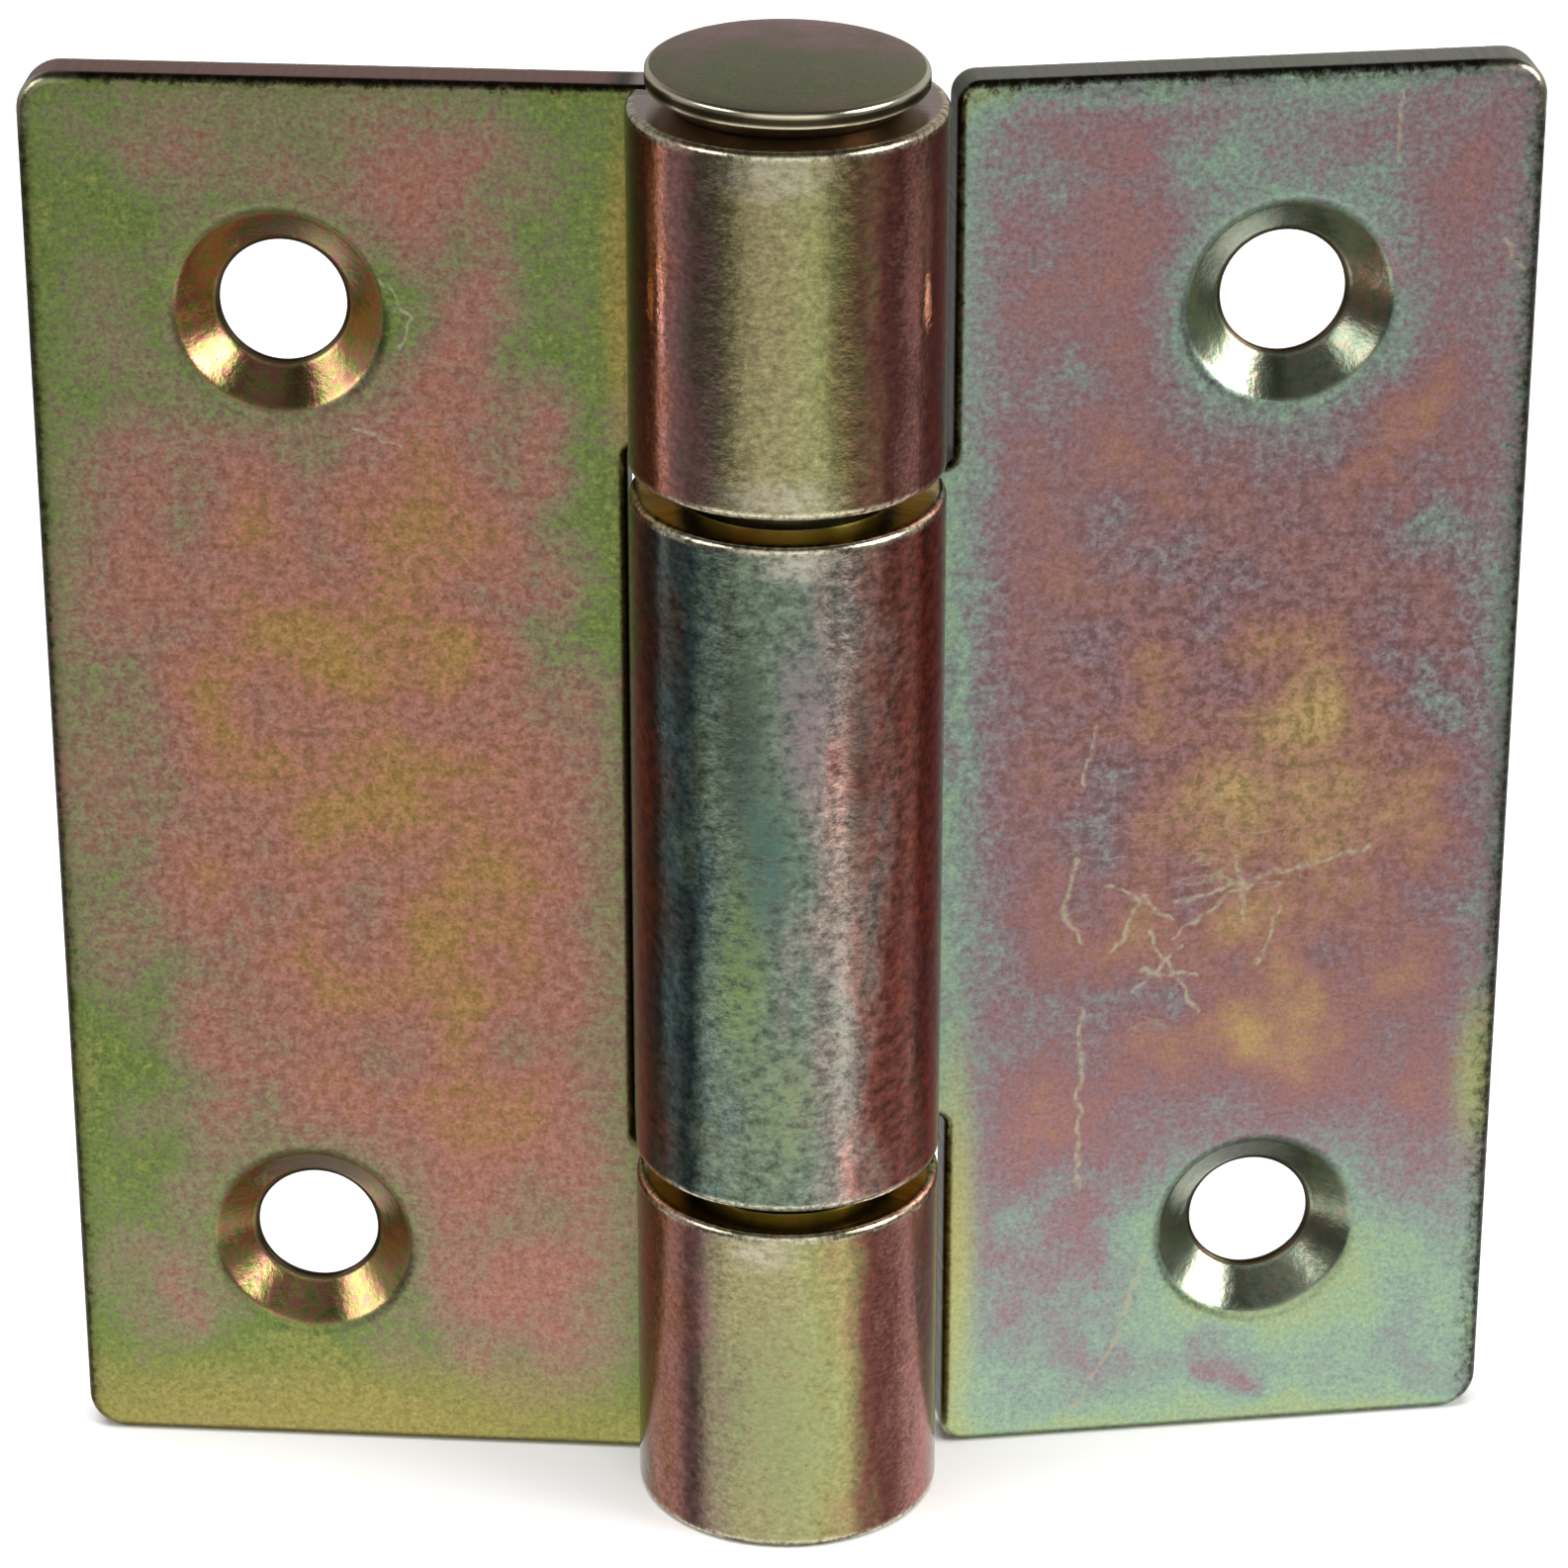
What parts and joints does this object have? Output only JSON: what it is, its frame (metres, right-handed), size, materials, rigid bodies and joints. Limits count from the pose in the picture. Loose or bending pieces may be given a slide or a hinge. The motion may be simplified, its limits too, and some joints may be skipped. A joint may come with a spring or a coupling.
{
  "type": "loose pin butt hinge",
  "caption": "Butt hinge of rolled steel strip: flat leaves with countersunk screw holes turn about a headed pin that lifts out at the top, yellow zinc plated.",
  "frame": {"origin": "on the pin's axis, at the level of the barrel's lower end, which the leaves' lower edges share", "axes": "+Z along the pin towards its head; the frame leaf runs along -X, and +Y points out of its back face"},
  "size_m": [0.0487, 0.0128, 0.0513],
  "materials": {
    "frame_leaf_finish": "steel strip, blanked, rolled and yellow chromated over zinc: satin gloss with iridescent gold, green and mauve fields",
    "door_leaf_finish": "steel strip, blanked, rolled and yellow chromated over zinc: satin gloss with iridescent gold, green and mauve fields",
    "pin_finish": "cold headed steel wire, yellow chromated over zinc"
  },
  "bodies": {
    "frame_side": {"frame_leaf": "frame_leaf_finish"},
    "door_side": {"door_leaf": "door_leaf_finish"},
    "pin": {"loose_pin": "pin_finish"}
  },
  "joints": [
    {"name": "door_swing", "type": "hinge", "parent": "frame_side", "child": "door_side", "pos_m": [0, 0, 0.025], "axis": [0, 0, 1], "range_deg": [-195, 110]},
    {"name": "pin_lift", "type": "slide", "parent": "frame_side", "child": "pin", "axis": [0, 0, 1], "range_m": [0, 0.0515]}
  ]
}
